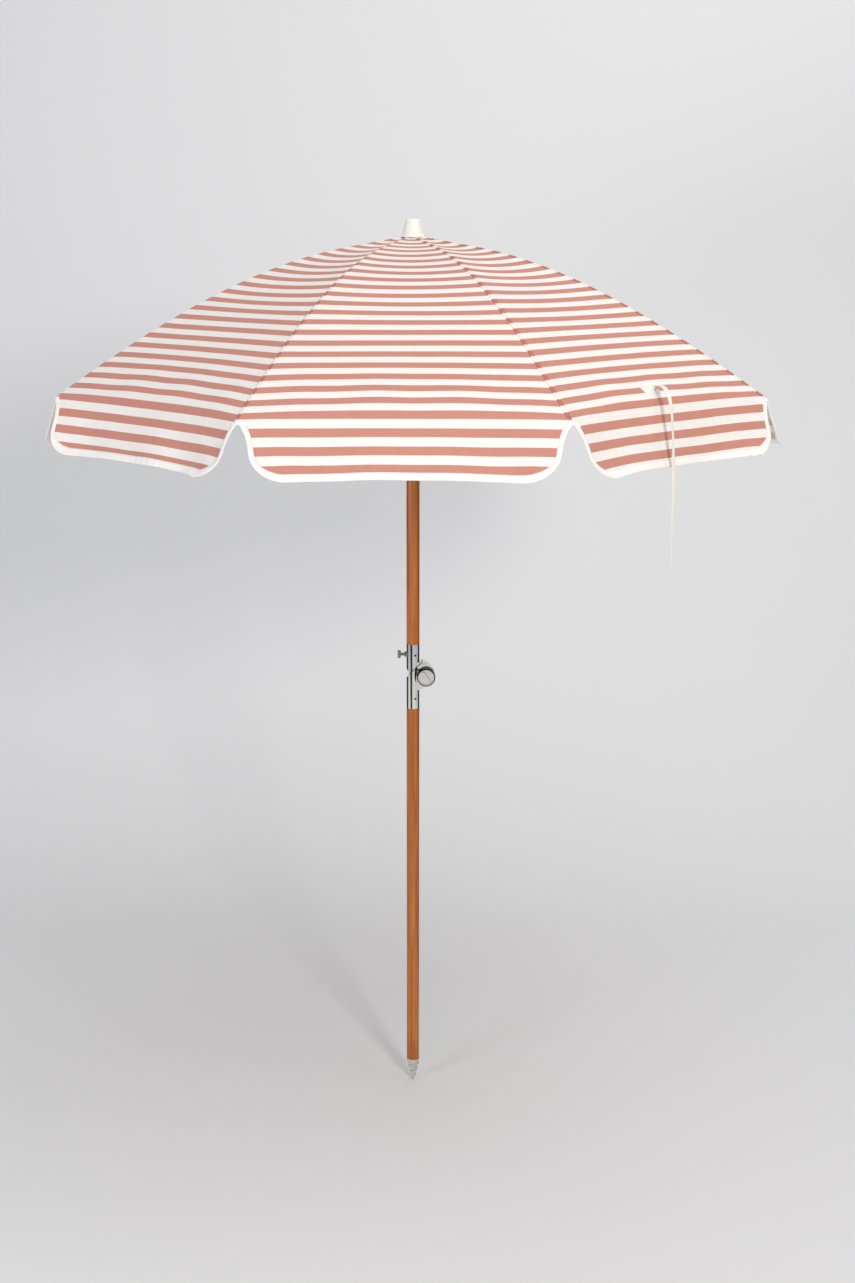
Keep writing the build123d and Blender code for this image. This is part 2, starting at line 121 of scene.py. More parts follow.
# tie strap: flat webbing, from the snap out over the valance and down, turning a little as it hangs
strap = {"azimuth": -72, "width": 0.010, "thick": 0.0011, "foot": outward(-45, 0.72317)}
strap["route"] = [
    (0.002, 1.8622), (0.022, 1.8655), (0.050, 1.859), (0.072, 1.836), (0.084, 1.795),
    (0.092, 1.745), (0.098, 1.690), (0.101, 1.632), (0.103, 1.570), (0.107, 1.508),
]
strapCurve = bpy.data.curves.new("strapLine", "CURVE")
strapCurve.dimensions = "3D"
strapCurve.resolution_u = 24
spline = strapCurve.splines.new("NURBS")
spline.points.add(len(strap["route"]) - 1)
for point, (out, height) in zip(spline.points, strap["route"]):
    point.co = (*(strap["foot"] + outward(strap["azimuth"], out, height)), 1)
spline.order_u = 3
spline.use_endpoint_u = True
strapLine = bpy.data.objects.new("strapLine", strapCurve)
bpy.context.scene.collection.objects.link(strapLine)
bpy.context.view_layer.update()
lineMesh = bpy.data.meshes.new_from_object(strapLine)
strapPath = [v.co.copy() for v in lineMesh.vertices]
bpy.data.meshes.remove(lineMesh)
bpy.data.objects.remove(strapLine)

strapSide = outward(strap["azimuth"] + 90)
strapShape = [
    (-0.5, 0.3), (-0.42, 0.5), (0, 0.5), (0.42, 0.5), (0.5, 0.3),
    (0.5, -0.3), (0.42, -0.5), (0, -0.5), (-0.42, -0.5), (-0.5, -0.3),
]
strapPoints, strapUvs, strapLength = [], [], 0
for i, spot in enumerate(strapPath):
    ahead = strapPath[min(i + 1, len(strapPath) - 1)] - strapPath[max(i - 1, 0)]
    ahead.normalize()
    if i:
        strapLength += (spot - strapPath[i - 1]).length
    share = i / (len(strapPath) - 1)
    twist = -radians(38) * (1 - cos(pi * min(1, share * 1.7))) / 2 + radians(9) * sin(11 * share)
    side = Matrix.Rotation(twist, 3, ahead) @ strapSide
    face = ahead.cross(side).normalized()
    for across, deep in strapShape:
        strapPoints.append(spot + side * across * strap["width"] + face * deep * strap["thick"])
        strapUvs.append((strapLength, across * strap["width"]))
ring = len(strapShape)
strapFaces = []
for i in range(len(strapPath) - 1):
    for j in range(ring):
        a, b = i * ring + j, i * ring + (j + 1) % ring
        strapFaces.append((a, b, b + ring, a + ring))
strapFaces += [tuple(range(ring - 1, -1, -1)), tuple(len(strapPoints) - ring + j for j in range(ring))]
tieStrap = meshPiece("tieStrap", strapPoints, strapFaces, strapUvs)
print("strap length", round(strapLength, 4))

# canopy surface, one panel in its own frame: x outwards along its middle, y across, z up
canopy = {
    "tipR": 0.840, "tipZ": 1.8187, "rise": 0.3271, "hubX": 0.0235,
    "foldX": 0.743, "hemX": 0.796, "hemZ": 1.7065, "hemCurve": 0.026, "valance": 0.125,
    "cornerDeep": 0.055, "cornerWide": 0.068, "lean": 0.0255, "leanDepth": 0.030,
    "thick": 0.0006,
}
halfAngle = 22.5
halfTan, halfCos = tan(radians(halfAngle)), cos(radians(halfAngle))
tipX = canopy["tipR"] * halfCos
tipY = canopy["tipR"] * sin(radians(halfAngle))


def ridgeHeight(x):  # the taut line over a rib, by its distance out along the panel's middle direction
    t = x / tipX
    hub = 0.0118 * exp(-(x / 0.074) ** 2)
    return canopy["tipZ"] + canopy["rise"] * (1 + 0.114 * t - 1.516 * t * t + 0.402 * t ** 3) + hub


arcSteps = 400
arcTable = [0.0]
for i in range(arcSteps):
    outer, inner = tipX * (1 - i / arcSteps), tipX * (1 - (i + 1) / arcSteps)
    arcTable.append(arcTable[-1] + hypot(outer - inner, ridgeHeight(outer) - ridgeHeight(inner)))


def arcToTip(x):  # cloth length from x down to the rib's tip
    place = max(0, min(arcSteps - 0.001, (1 - x / tipX) * arcSteps))
    return arcTable[int(place)] + (place % 1) * (arcTable[int(place) + 1] - arcTable[int(place)])


def slopeAt(w, x):  # (x, z, cloth height above the hem) on the slope; w runs -1..1 from rib to rib
    slack = 1 - w * w
    sag = 0.0052 * (1 - exp(-(x / 0.11) ** 2)) * (1 + 0.35 * exp(-((x - 0.3) / 0.12) ** 2))
    arch = 0.019 * max(0, (x - 0.33) / 0.413) ** 1.3
    return x, ridgeHeight(x) - sag * slack, arcToTip(x) + canopy["valance"] - arch * slack


def foldAt(w):
    return slopeAt(w, canopy["foldX"] + (tipX - canopy["foldX"]) * w * w)


def hemAt(w):
    return canopy["hemX"] + canopy["hemCurve"] * w ** 4, canopy["hemZ"]


tipDepth = hypot(hemAt(1)[0] - tipX, canopy["hemZ"] - canopy["tipZ"])


def flapWidth(q):  # half width of the valance at depth q (0 fold, 1 hem), as a share of the width at the fold
    depth = q * tipDepth
    lean = canopy["lean"] * (1 - exp(-max(0, depth - 0.006) / canopy["leanDepth"]))
    over = max(0, min(1, (depth - tipDepth + canopy["cornerDeep"]) / canopy["cornerDeep"]))
    return 1 - (lean + canopy["cornerWide"] * (1 - sqrt(1 - over * over))) / tipY


def ripple(k, w, y, height, q):  # how far the cloth stands out from its taut shape
    a, b = 1.7 * k, 2.9 * k + 1
    taut = 1 - w ** 6
    out = 0.0007 * sin(30 * height + 5 * y + a) * taut
    out += 0.0009 * exp(-((height - 0.19) / 0.05) ** 2) * sin(38 * y + b) * taut * (1 - q)
    loose = q * q * (3 - 2 * q)
    out += loose * (0.0042 * sin(17 * y + a) + 0.0024 * sin(37 * y + 12 * height + b))
    out += 0.0021 * loose * exp(-((abs(w) - 0.86) / 0.12) ** 2) * sin(70 * (y + height) + a)
    near = exp(-(1 - q) * tipDepth / 0.020)
    out += 0.00075 * near * q * sin(240 * y + 2 * sin(31 * y + b)) * (0.6 + 0.4 * sin(19 * y + a))
    return out


def flapAt(k, w, q):  # a point of panel k's valance
    fx, fz, fv = foldAt(w)
    hx, hz = hemAt(w)
    y = w * fx * halfTan * flapWidth(q)
    away = Vector((fz - hz, hx - fx)).normalized()
    out = ripple(k, w, y, fv * (1 - q), q)
    return Vector((fx + (hx - fx) * q + away.x * out, y, fz + (hz - fz) * q + away.y * out)), fv * (1 - q)


def slopePoint(k, w, x):
    x, z, v = slopeAt(w, x)
    y = w * x * halfTan
    out = ripple(k, w, y, v, 0)
    return Vector((x + 0.5 * out, y, z + 0.86 * out)), v


def panelRows():  # ("slope", share) rows, then ("flap", q) rows that follow the rounded corners
    rows = [("slope", i / 72) for i in range(73)]
    rows += [("fold", i / 9) for i in range(1, 10)]
    straight = 1 - canopy["cornerDeep"] / tipDepth
    rows += [("flap", straight * i / 14) for i in range(1, 15)]
    rows += [("flap", straight + (1 - straight) * sin(radians(90 * i / 14))) for i in range(1, 15)]
    return rows


def panelPoint(k, w, row):
    kind, share = row
    radius = 0.004 + 0.010 * (1 - w * w)
    fx = foldAt(w)[0]
    start = fx - radius * 0.82
    depth = hypot(hemAt(w)[0] - fx, foldAt(w)[1] - canopy["hemZ"])
    if kind == "slope":
        return slopePoint(k, w, canopy["hubX"] + (start - canopy["hubX"]) * share)
    if kind == "fold":
        a, va = slopePoint(k, w, start)
        b, vb = flapAt(k, w, radius / depth)
        corner = flapAt(k, w, 0)[0]
        t = share
        return a * (1 - t) ** 2 + corner * 2 * t * (1 - t) + b * t * t, va + (vb - va) * t
    least = radius / depth
    return flapAt(k, w, least + (1 - least) * share)


def placed(point, azimuth):  # from a panel's own frame to the row frame
    return Matrix.Rotation(radians(azimuth), 3, "Z") @ point


def wingShare(piece, ribAzimuth):  # the cloth follows its rib at the seam and the folding wing at the middle
    weights = piece.data.attributes["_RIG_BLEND"].data
    for vertex, weight in zip(piece.data.vertices, weights):
        turned = Matrix.Rotation(-radians(ribAzimuth), 3, "Z") @ vertex.co
        weight.value = min(1, abs(atan2(turned.y, turned.x)) / radians(halfAngle))


def foldWith(piece, k, side):
    middle = -90 + 45 * (k - 1)
    ribAzimuth = middle + (halfAngle if side == "right" else -halfAngle)
    rib = k if side == "right" else (k - 2) % 8 + 1
    start, end = outward(ribAzimuth, 0.5, 1.9), outward(middle, 0.5, 1.9)
    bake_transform(piece, f"rib_{rib}", f"panel_{k}_{side}", start, end)
    wingShare(piece, ribAzimuth)


clothSteps = 40
stripeStep = {1: 0, 2: -0.006, 3: -0.003, 4: 0.004, 5: -0.005, 6: 0.002, 7: 0.009, 8: 0.006}
clothHalves, bindings, seams, caps, pockets = [], [], [], [], []
rows = panelRows()
for k in range(1, 9):
    middle = -90 + 45 * (k - 1)
    for side, sign in (("left", -1), ("right", 1)):
        points, uvs = [], []
        for row in rows:
            for j in range(clothSteps + 1):
                w = sign * j / clothSteps
                point, v = panelPoint(k, w, row)
                points.append(placed(point, middle))
                uvs.append((point.y, v + stripeStep[k]))
        faces = gridFaces(len(rows), clothSteps + 1, flip=sign > 0)
        cloth = meshPiece(f"cloth_{k}_{side}", points, faces, uvs)
        layer = cloth.modifiers.new("thickness", "SOLIDIFY")
        layer.thickness = canopy["thick"]
        layer.offset = -1
        layer.material_offset = 1
        layer.use_rim = False
        clothHalves.append((cloth, k, side))
print("cloth halves", len(clothHalves), "faces each", len(clothHalves[0][0].data.polygons))

# white binding folded over the edge of each valance
binding = {"hem": 0.012, "side": 0.0085, "shape": [
    (1.0, 0.3), (0.96, 1.0), (0.5, 1.15), (0.1, 1.15), (-0.06, 0.8), (-0.13, 0.1),
    (-0.13, -0.9), (-0.06, -1.5), (0.1, -1.9), (0.5, -1.9), (0.96, -1.7), (1.0, -1.0),
]}


def edgeLine():  # (y, depth) along the outline from the rib's tip round the corner to the middle of the hem
    straight = 1 - canopy["cornerDeep"] / tipDepth
    shares = [straight * i / 24 for i in range(25)]
    shares += [straight + (1 - straight) * sin(radians(90 * i / 16)) for i in range(1, 17)]
    line = [(tipY * flapWidth(q), q * tipDepth) for q in shares]
    hem = line[-1][0]
    return line + [(hem * (1 - i / 60), tipDepth) for i in range(1, 61)]


def flapSpot(k, sign, y, depth):  # surface point and outward normal at a flat place on the valance
    q = max(0, min(1, depth / tipDepth))
    w = max(0, min(1, y / (tipY * flapWidth(q))))
    spot = flapAt(k, sign * w, q)[0]
    across = flapAt(k, sign * max(0, w - 0.01), q)[0] - spot
    up = flapAt(k, sign * w, max(0, q - 0.01))[0] - spot if q > 0.01 else spot - flapAt(k, sign * w, q + 0.01)[0]
    if w < 0.005:
        across = flapAt(k, 0, q)[0] - flapAt(k, 0.01 * sign, q)[0]
    normal = across.cross(up) * sign
    if normal.x < 0:
        normal.negate()
    return spot, normal.normalized(), across.normalized(), up.normalized()


outline = edgeLine()
shape = binding["shape"]
for k in range(1, 9):
    middle = -90 + 45 * (k - 1)
    for side, sign in (("left", -1), ("right", 1)):
        points, uvs, run = [], [], 0
        for i, (y, depth) in enumerate(outline):
            before, after = outline[max(0, i - 1)], outline[min(i + 1, len(outline) - 1)]
            along = Vector((after[0] - before[0], after[1] - before[1])).normalized()
            inward = Vector((-along.y, along.x))
            if inward.x * y + inward.y * depth > 0:
                inward.negate()
            if i:
                run += hypot(y - outline[i - 1][0], depth - outline[i - 1][1])
            edge = flapSpot(k, sign, y, depth)[0]
            width = binding["side"] + (binding["hem"] - binding["side"]) * max(0, min(1, depth / tipDepth * 4 - 3))
            for across, lift in shape:
                reach = max(0, across) * width
                spot, normal, _, _ = flapSpot(k, sign, y + inward.x * reach, depth + inward.y * reach)
                if across < 0:
                    inner = flapSpot(k, sign, y + inward.x * 0.004, depth + inward.y * 0.004)[0]
                    spot = edge + (edge - inner).normalized() * -across * width
                points.append(placed(spot + normal * lift * 0.001, middle))
                uvs.append((run, 0.0112 - (1 - across) * width))
        faces = gridFaces(len(outline), len(shape), flip=sign > 0)
        tape = meshPiece(f"binding_{k}_{side}", points, faces, uvs)
        bindings.append((tape, k, side))
print("bindings", len(bindings))

# ridge seams: a felled strip on the left of each rib, and the tape that closes the notch over its tip
seam = {"width": 0.0085, "shape": [(-0.02, 0.2), (0.0, 1.0), (0.3, 1.4), (0.8, 1.4), (0.97, 1.1), (1.0, -0.1)]}


def ridgeSpot(k, toRib, x, aside):  # a point on panel k beside its rib (toRib +1 right, -1 left), and the normal
    w = toRib * max(0, 1 - aside / (x * halfTan))
    spot = slopePoint(k, w, x)[0]
    down = slopePoint(k, w, x + 0.002)[0] - spot
    normal = down.cross(Vector((0, 1, 0)))
    if normal.z < 0:
        normal.negate()
    return spot, normal.normalized()


for k in range(1, 9):
    middle = -90 + 45 * (k - 1)
    points, uvs = [], []
    last = tipX - 0.006
    count = 160
    for i in range(count + 1):
        x = 0.026 + (last - 0.026) * i / count
        v = slopePoint(k, 1, x)[1] + 0.5 * (stripeStep[k] + stripeStep[k % 8 + 1])
        for across, lift in seam["shape"]:
            spot, normal = ridgeSpot(k, 1, x, max(0, across) * seam["width"])
            points.append(placed(spot + normal * lift * 0.001, middle))
            uvs.append((across * seam["width"], v))
    strip = meshPiece(f"seam_{k}", points, gridFaces(count + 1, len(seam["shape"])), uvs)
    seams.append((strip, k))



def besideTip(k, toRib, aside, depth):  # a place beside the rib, by depth below its tip, or above it if negative
    if depth < 0:
        return ridgeSpot(k, toRib, tipX + depth * 0.82, aside)
    q = depth / tipDepth
    w = toRib * max(0, 1 - (aside - 0.41 * canopy["hemCurve"] * q) / tipY)
    spot = flapAt(k, w, q)[0]
    down = flapAt(k, w, q + 0.02)[0] - spot
    normal = Vector((-down.z, 0, down.x))
    return spot, normal.normalized()


capShape = {"rings": 5, "steps": 28, "depth": 0.015, "inner": 0.0055, "outer": 0.0150}
capLifts = (0.0004, 0.0018, 0.0020, 0.0018, 0.0006)
for k in range(1, 9):
    middle = -90 + 45 * (k - 1)
    points, uvs = [], []
    for i in range(capShape["rings"]):
        radius = capShape["inner"] + (capShape["outer"] - capShape["inner"]) * i / (capShape["rings"] - 1)
        for j in range(capShape["steps"] + 1):
            angle = pi * j / capShape["steps"]
            aside, depth = radius * cos(angle), capShape["depth"] - radius * sin(angle)
            panel, toRib, turnTo = (k, 1, middle) if aside < 0 else (k % 8 + 1, -1, middle + 45)
            spot, normal = besideTip(panel, toRib, abs(aside), depth)
            points.append(placed(spot + normal * capLifts[i], turnTo))
            uvs.append((radius * angle, 0.004))
    cap = meshPiece(f"notchTape_{k}", points, gridFaces(capShape["rings"], capShape["steps"] + 1), uvs)
    caps.append((cap, k))
print("seams", len(seams))

# fabric pockets that hold the rib ends, under the cloth
for k in range(1, 9):
    ribAzimuth = -90 + 45 * (k - 1) + halfAngle
    points = []
    slope = radians(34)
    for i in range(13):
        share = i / 12
        reach = 0.838 - 0.030 * share
        height = 1.8105 + 0.030 * share * tan(slope) + 0.0006
        wide = 0.0085 + 0.002 * share + 0.0006 * sin(9 * share)
        deep = 0.0048 * (1 - 0.15 * share)
        if i == 0:
            wide, deep = 0.5 * wide, 0.5 * deep
        for j in range(20):
            angle = 2 * pi * j / 20
            spot = outward(ribAzimuth, reach - deep * sin(angle) * sin(slope), height + deep * sin(angle) * cos(slope))
            points.append(spot + outward(ribAzimuth + 90) * wide * cos(angle))
    faces = []
    for i in range(12):
        for j in range(20):
            a, b = i * 20 + j, i * 20 + (j + 1) % 20
            faces.append((a, a + 20, b + 20, b))
    faces += [tuple(range(20)), tuple(240 + j for j in range(19, -1, -1))]
    pockets.append((meshPiece(f"ribPocket_{k}", points, faces), k))

# tie patch, sewn flat on panel 2, and its snap
patch = {"wide": 0.046, "deep": 0.026, "x": 0.7232, "lift": 0.0016, "aside": 0.014, "up": 0.0035}
patchPoints, patchUvs = [], []
for i in range(9):
    for j in range(17):
        across, along = (j / 16 - 0.5) * patch["wide"], (i / 8 - 0.5) * patch["deep"]
        edge = min(0.5 * patch["wide"] - abs(across), 0.5 * patch["deep"] - abs(along))
        x = patch["x"] - patch["up"] + along * 0.82
        w = (across - patch["aside"]) / (x * halfTan)
        spot = slopePoint(2, w, x)[0]
        normal = (slopePoint(2, w, x + 0.002)[0] - spot).cross(Vector((0, 1, 0))).normalized()
        lift = patch["lift"] * (1 if edge > 0.0012 else 0.1)
        patchPoints.append(placed(spot + normal * lift, -45))
        patchUvs.append((across, along))
tiePatch = meshPiece("tiePatch", patchPoints, gridFaces(9, 17, flip=True), patchUvs)

snapSpot, snapNormal = ridgeSpot(2, 1, patch["x"], patch["x"] * halfTan)
snapSpot = placed(snapSpot, -45)
snapNormal = placed(snapNormal, -45)
snapProfile = [
    (0, 0.0030), (0.0017, 0.0030), (0.0021, 0.0024), (0.0032, 0.0022), (0.0040, 0.0030), (0.0048, 0.0036),
    (0.0056, 0.0032), (0.0060, 0.0022), (0.0060, 0.0004), (0, 0.0004),
]
tieSnap = spunPiece("tieSnap", snapProfile, 40)
for vertex in tieSnap.data.vertices:
    vertex.co = snapSpot + snapNormal.to_track_quat("Z", "Y") @ vertex.co
print("tie made")

# finial: hollow-looking moulded cap with a soft top edge and a thin flange
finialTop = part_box("finial")[1].z
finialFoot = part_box("finial")[0].z
finialProfile = [
    (0, finialTop - 0.0022), (0.0095, finialTop - 0.0022), (0.0108, finialTop - 0.0016), (0.0118, finialTop - 0.0002),
    (0.0130, finialTop), (0.0150, finialTop - 0.0001), (0.0164, finialTop - 0.0007), (0.0171, finialTop - 0.0020),
    (0.0176, finialTop - 0.0040), (0.0205, finialTop - 0.0170), (0.0236, finialTop - 0.0310),
    (0.0250, finialFoot + 0.0050), (0.0258, finialFoot + 0.0040), (0.0274, finialFoot + 0.0034),
    (0.0280, finialFoot + 0.0024), (0.0280, finialFoot + 0.0008), (0.0276, finialFoot), (0, finialFoot),
]
finial = spunPiece("finialCap", finialProfile, 96)
print("finial made")

# ground spike: moulded point with a spiral fin
spikeProfile = [
    (0, 0), (0.0012, 0.0004), (0.0022, 0.0016), (0.0040, 0.0080), (0.0058, 0.0170), (0.0076, 0.0280),
    (0.0096, 0.0390), (0.0120, 0.0480), (0.0140, 0.0525), (0.0152, 0.0545), (0.0157, 0.0560), (0.0158, 0.0575),
    (0.0158, 0.0590), (0.0153, 0.0597), (0.0153, 0.0606), (0.0158, 0.0613), (0.0158, 0.0640), (0.0150, 0.0645),
    (0.0098, 0.0645), (0.0098, 0.0940), (0, 0.0940),
]
spike = spunPiece("spikePoint", spikeProfile, 64)
finPoints, finFaces = [], []
finTurns, finSteps = 2.6, 150
finShape = [(-0.0030, -0.0026), (0.0, -0.0011), (0.0008, 0.0), (0.0, 0.0011), (-0.0030, 0.0026)]
for i in range(finSteps + 1):
    share = i / finSteps
    height = 0.0085 + 0.0435 * share
    reach = (0.0058 + 0.0098 * share ** 0.75) * (1 - 0.5 * exp(-share * 14))
    azimuth = 200 + 360 * finTurns * share
    for out, up in finShape:
        finPoints.append(outward(azimuth, max(0.0005, reach + out), height + up))
ring = len(finShape)
for i in range(finSteps):
    for j in range(ring):
        a, b = i * ring + j, i * ring + (j + 1) % ring
        finFaces.append((a, b, b + ring, a + ring))
finFaces += [tuple(range(ring - 1, -1, -1)), tuple(finSteps * ring + j for j in range(ring))]
spikeFin = meshPiece("spikeFin", finPoints, finFaces)
print("spike made")


# materials
def linear(code):  # sRGB hex to linear values
    parts = [int(code[i:i + 2], 16) / 255 for i in (1, 3, 5)]
    return [c / 12.92 if c <= 0.04045 else ((c + 0.055) / 1.055) ** 2.4 for c in parts] + [1]


def makeMaterial(name, values):
    material = bpy.data.materials.new(name)
    material.use_nodes = True
    shader = material.node_tree.nodes["Principled BSDF"]
    for key, value in values.items():
        shader.inputs[key].default_value = value
    return material, shader


def addNode(material, kind, settings, values, links):
    node = material.node_tree.nodes.new(kind)
    for key, value in settings.items():
        setattr(node, key, value)
    for key, value in values.items():
        node.inputs[key].default_value = value
    for key, socket in links.items():
        material.node_tree.links.new(socket, node.inputs[key])
    return node


def link(material, source, target):
    material.node_tree.links.new(source, target)


def stripedCloth(name, pink, white, weaveDepth):  # woven stripes 38 mm apart, with a soft weave and faint slubs
    material, shader = makeMaterial(name, {
        "Roughness": 0.78, "Sheen Weight": 0.06, "Sheen Roughness": 0.5, "Specular IOR Level": 0.2,
    })
    uv = addNode(material, "ShaderNodeUVMap", {"uv_map": "cloth"}, {}, {}).outputs["UV"]
    parts = addNode(material, "ShaderNodeSeparateXYZ", {}, {}, {0: uv})
    wander = addNode(material, "ShaderNodeTexNoise", {}, {"Scale": 9, "Detail": 2}, {"Vector": uv}).outputs["Fac"]
    shift = addNode(material, "ShaderNodeMath", {"operation": "MULTIPLY_ADD"}, {1: 0.0016, 2: -0.02205}, {0: wander})
    height = addNode(material, "ShaderNodeMath", {"operation": "ADD"}, {}, {0: parts.outputs["Y"], 1: shift.outputs[0]})
    pitch = addNode(material, "ShaderNodeMath", {"operation": "DIVIDE"}, {1: 0.038}, {0: height.outputs[0]})
    fold = addNode(material, "ShaderNodeMath", {"operation": "PINGPONG"}, {1: 0.5}, {0: pitch.outputs[0]})
    mask = addNode(material, "ShaderNodeMapRange", {"interpolation_type": "SMOOTHSTEP"},
                   {"From Min": 0.232, "From Max": 0.255}, {"Value": fold.outputs[0]})
    colour = addNode(material, "ShaderNodeMix", {"data_type": "RGBA"}, {6: linear(pink), 7: linear(white)},
                     {0: mask.outputs["Result"]})
    slub = addNode(material, "ShaderNodeTexNoise", {}, {"Scale": 55, "Detail": 4, "Roughness": 0.6}, {"Vector": uv})
    tone = addNode(material, "ShaderNodeMapRange", {}, {"To Min": 0.93, "To Max": 1.05}, {"Value": slub.outputs["Fac"]})
    shade = addNode(material, "ShaderNodeVectorMath", {"operation": "SCALE"}, {},
                    {0: colour.outputs[2], "Scale": tone.outputs["Result"]})
    link(material, shade.outputs[0], shader.inputs["Base Color"])
    bump = weaveBump(material, uv, weaveDepth)
    link(material, bump, shader.inputs["Normal"])
    return material


def weaveBump(material, uv, depth):  # threads drawn 1.6 mm apart, coarser than the real half millimetre
    threads = []
    for direction in ("X", "Y"):
        wave = addNode(material, "ShaderNodeTexWave", {"bands_direction": direction},
                       {"Scale": 196, "Distortion": 1.2, "Detail": 1}, {"Vector": uv})
        threads.append(wave.outputs["Fac"])
    both = addNode(material, "ShaderNodeMath", {"operation": "MULTIPLY"}, {}, {0: threads[0], 1: threads[1]})
    bump = addNode(material, "ShaderNodeBump", {}, {"Strength": 0.35, "Distance": depth}, {"Height": both.outputs[0]})
    return bump.outputs["Normal"]


stripes = stripedCloth("dusty pink striped canvas", "#cb8c7c", "#f2ede7", 0.0002)
lining = stripedCloth("canvas underside", "#d6baac", "#ebe5db", 0.0002)
felled = stripedCloth("felled canvas seam", "#bd7566", "#efe8e1", 0.0002)

tapeWhite, tapeShader = makeMaterial("white bias binding", {
    "Roughness": 0.7, "Sheen Weight": 0.2, "Sheen Roughness": 0.5, "Specular IOR Level": 0.3,
})  # bright tape with a fine row of stitches near its inner edge
tapeUv = addNode(tapeWhite, "ShaderNodeUVMap", {"uv_map": "cloth"}, {}, {}).outputs["UV"]
tapeParts = addNode(tapeWhite, "ShaderNodeSeparateXYZ", {}, {}, {0: tapeUv})
near = addNode(tapeWhite, "ShaderNodeMath", {"operation": "COMPARE"}, {1: 0.0097, 2: 0.0004}, {0: tapeParts.outputs["Y"]})
beat = addNode(tapeWhite, "ShaderNodeMath", {"operation": "PINGPONG"}, {1: 0.0016}, {0: tapeParts.outputs["X"]})
dash = addNode(tapeWhite, "ShaderNodeMath", {"operation": "LESS_THAN"}, {1: 0.0011}, {0: beat.outputs[0]})
stitch = addNode(tapeWhite, "ShaderNodeMath", {"operation": "MULTIPLY"}, {}, {0: near.outputs[0], 1: dash.outputs[0]})
tapeColour = addNode(tapeWhite, "ShaderNodeMix", {"data_type": "RGBA"}, {6: linear("#f7f3ee"), 7: linear("#ddd6cd")},
                     {0: stitch.outputs[0]})
link(tapeWhite, tapeColour.outputs[2], tapeShader.inputs["Base Color"])
tapeNormal = weaveBump(tapeWhite, tapeUv, 0.0002)
link(tapeWhite, tapeNormal, tapeShader.inputs["Normal"])

webbing, webShader = makeMaterial("white cotton webbing", {"Base Color": linear("#f0ece3"), "Roughness": 0.8,
                                  "Sheen Weight": 0.2, "Specular IOR Level": 0.3})  # tie strap and its patch
webUv = addNode(webbing, "ShaderNodeUVMap", {"uv_map": "cloth"}, {}, {}).outputs["UV"]
webNormal = weaveBump(webbing, webUv, 0.0004)
link(webbing, webNormal, webShader.inputs["Normal"])

wood, woodShader = makeMaterial("varnished beech", {"Roughness": 0.42, "Coat Weight": 0.15, "Coat Roughness": 0.25})
woodPlace = addNode(wood, "ShaderNodeTexCoord", {}, {}, {}).outputs["Object"]  # orange-brown grain along the pole
woodLong = addNode(wood, "ShaderNodeMapping", {}, {"Scale": (95, 95, 3.2)}, {"Vector": woodPlace})
grain = addNode(wood, "ShaderNodeTexNoise", {}, {"Scale": 1, "Detail": 6, "Roughness": 0.62, "Distortion": 0.6},
                {"Vector": woodLong.outputs[0]})
ramp = addNode(wood, "ShaderNodeValToRGB", {}, {}, {0: grain.outputs["Fac"]})
ramp.color_ramp.elements[0].position, ramp.color_ramp.elements[0].color = 0.30, linear("#85420e")
ramp.color_ramp.elements[1].position, ramp.color_ramp.elements[1].color = 0.68, linear("#c47a2e")
ramp.color_ramp.elements.new(0.48).color = linear("#ae5f1c")
blotch = addNode(wood, "ShaderNodeTexNoise", {}, {"Scale": 14, "Detail": 2}, {"Vector": woodPlace})
blotchTone = addNode(wood, "ShaderNodeMapRange", {}, {"To Min": 0.88, "To Max": 1.12}, {"Value": blotch.outputs["Fac"]})
woodColour = addNode(wood, "ShaderNodeVectorMath", {"operation": "SCALE"}, {},
                     {0: ramp.outputs["Color"], "Scale": blotchTone.outputs["Result"]})
link(wood, woodColour.outputs[0], woodShader.inputs["Base Color"])
woodBump = addNode(wood, "ShaderNodeBump", {}, {"Strength": 0.25, "Distance": 0.0004}, {"Height": grain.outputs["Fac"]})
link(wood, woodBump.outputs["Normal"], woodShader.inputs["Normal"])


def metal(name, colour, rough, scale, spread):  # bright metal, with fine smears that break up its reflections
    material, shader = makeMaterial(name, {"Base Color": linear(colour), "Metallic": 1.0})
    place = addNode(material, "ShaderNodeTexCoord", {}, {}, {}).outputs["Object"]
    smear = addNode(material, "ShaderNodeTexNoise", {}, {"Scale": scale, "Detail": 4, "Roughness": 0.6}, {"Vector": place})
    value = addNode(material, "ShaderNodeMapRange", {}, {"To Min": rough, "To Max": rough + spread},
                    {"Value": smear.outputs["Fac"]})
    link(material, value.outputs["Result"], shader.inputs["Roughness"])
    return material


plated = metal("bright plated steel", "#eae8e3", 0.06, 160, 0.10)
worn = metal("worn plated steel", "#8d8a86", 0.18, 160, 0.15)
blackened = metal("blackened steel", "#2c2a29", 0.35, 200, 0.15)


